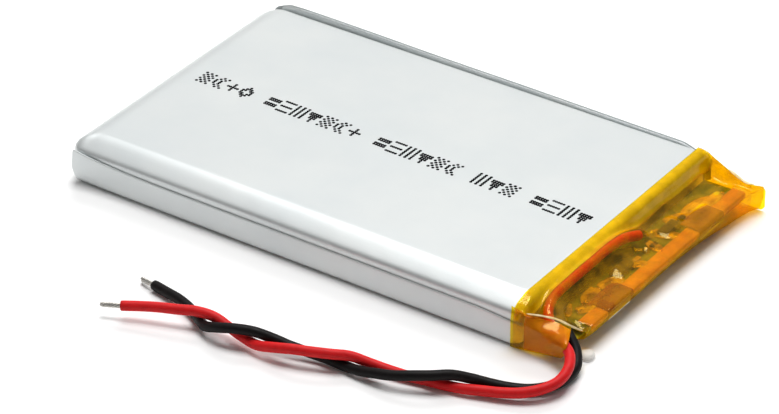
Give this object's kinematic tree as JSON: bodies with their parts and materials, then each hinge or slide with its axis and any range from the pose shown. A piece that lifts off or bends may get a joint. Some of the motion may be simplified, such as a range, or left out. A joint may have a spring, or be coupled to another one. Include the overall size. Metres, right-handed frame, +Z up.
{
  "type": "pouch battery cell",
  "caption": "Flat rectangular lithium-polymer pouch cell with folded side seams, a tape-wrapped protection board end and twisted red and black leads with stripped ends.",
  "frame": {"origin": "under the middle of the cell, on the surface that it lies on, without its leads", "axes": "+X along the length towards the protection board end, +Y across the width away from the side where the leads come out, +Z up through the thickness"},
  "size_m": [0.0661, 0.0564, 0.0053],
  "materials": {
    "laminate": "satin",
    "cathode_coating": "matt",
    "copper_foil": "satin",
    "separator_film": "matt",
    "aluminium_tab": "satin",
    "nickel_tab": "satin",
    "sealant": "satin",
    "solder_mask": "gloss",
    "epoxy": "matt",
    "ceramic": "satin",
    "solder": "bright",
    "red_insulation": "satin",
    "black_insulation": "satin",
    "tinned_strands": "bright",
    "polyimide_film": "clear amber, crumpled",
    "clear_glue": "satin"
  },
  "bodies": {
    "root": {"pouch_base_sheet": "laminate", "pouch_cup": "laminate", "cathode_foil": "cathode_coating", "anode_foil": "copper_foil", "separator_inner": "separator_film", "separator_outer": "separator_film", "winding_tape": "separator_film", "positive_tab": "aluminium_tab", "negative_tab": "nickel_tab", "positive_tab_seal": "sealant", "negative_tab_seal": "sealant", "board_pad": "sealant", "circuit_board": "solder_mask", "protection_ic": "epoxy", "dual_mosfet": "epoxy", "sense_resistor": "epoxy", "filter_resistor": "epoxy", "filter_capacitor": "ceramic", "red_lead": "red_insulation", "black_lead": "black_insulation", "red_lead_tip": "tinned_strands", "black_lead_tip": "tinned_strands", "red_lead_root": "tinned_strands", "black_lead_root": "tinned_strands", "red_solder_joint": "solder", "black_solder_joint": "solder", "polyimide_tape": "polyimide_film", "tape_band_near": "polyimide_film", "tape_band_far": "polyimide_film", "glue_dab": "clear_glue"}
  },
  "joints": []
}
